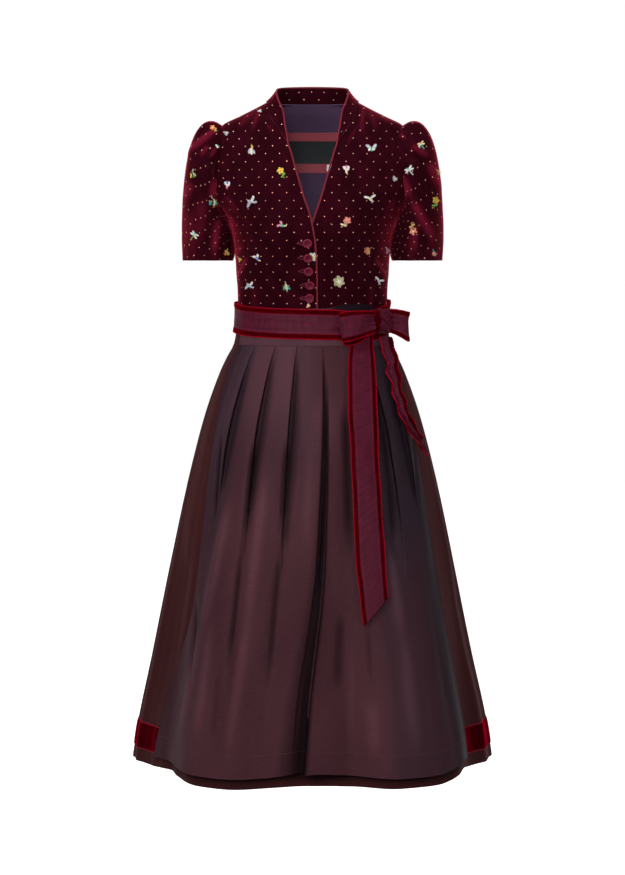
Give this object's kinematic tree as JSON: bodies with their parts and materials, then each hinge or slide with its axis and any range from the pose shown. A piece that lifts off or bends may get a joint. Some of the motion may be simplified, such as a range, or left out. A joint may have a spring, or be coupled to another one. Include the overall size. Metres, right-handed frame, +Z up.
{
  "type": "dirndl",
  "caption": "Dirndl in its hollow worn shape: velvet bodice with stand collar and puffed sleeves, pleated skirt, pleated apron and a bordered sash tied in a bow.",
  "frame": {"origin": "midway between the tops of the shoulders, where the wearer's shoulders carry the dress", "axes": "+X to the wearer's left, -Y is the front, +Z up"},
  "size_m": [0.6808, 0.5412, 1.2575],
  "materials": {
    "bodice_velvet": "velvet nap",
    "piping_cord": "satin",
    "button": "gloss",
    "lining": "matte",
    "backing_tape": "matte",
    "label": "satin",
    "tab": "matte",
    "skirt_cloth": "matte",
    "hem_velvet": "velvet nap",
    "apron_taffeta": "shot taffeta",
    "ribbon_silk": "satin",
    "border_velvet": "velvet nap"
  },
  "bodies": {
    "root": {"bodice_front_right": "bodice_velvet", "bodice_front_left": "bodice_velvet", "bodice_back": "bodice_velvet", "collar": "bodice_velvet", "sleeve_right": "bodice_velvet", "sleeve_left": "bodice_velvet", "piping": "piping_cord", "button_1": "button", "button_2": "button", "button_3": "button", "button_4": "button", "button_5": "button", "lining_back": "lining", "backing_band": "backing_tape", "neck_label": "label", "size_tab": "tab", "skirt_front": "skirt_cloth", "skirt_back": "skirt_cloth", "hem_band_front": "hem_velvet", "hem_band_back": "hem_velvet", "apron_panel": "apron_taffeta", "apron_waistband": "apron_taffeta", "sash_centre": "ribbon_silk", "sash_knot": "ribbon_silk", "loop_front_centre": "ribbon_silk", "loop_side_centre": "ribbon_silk", "tail_long_centre": "ribbon_silk", "tail_short_centre": "ribbon_silk", "sash_border_top": "border_velvet", "sash_border_bottom": "border_velvet", "loop_front_border_top": "border_velvet", "loop_front_border_bottom": "border_velvet", "loop_side_border_top": "border_velvet", "loop_side_border_bottom": "border_velvet", "tail_long_border_inner": "border_velvet", "tail_long_border_outer": "border_velvet", "tail_short_border_inner": "border_velvet", "tail_short_border_outer": "border_velvet"}
  },
  "joints": []
}
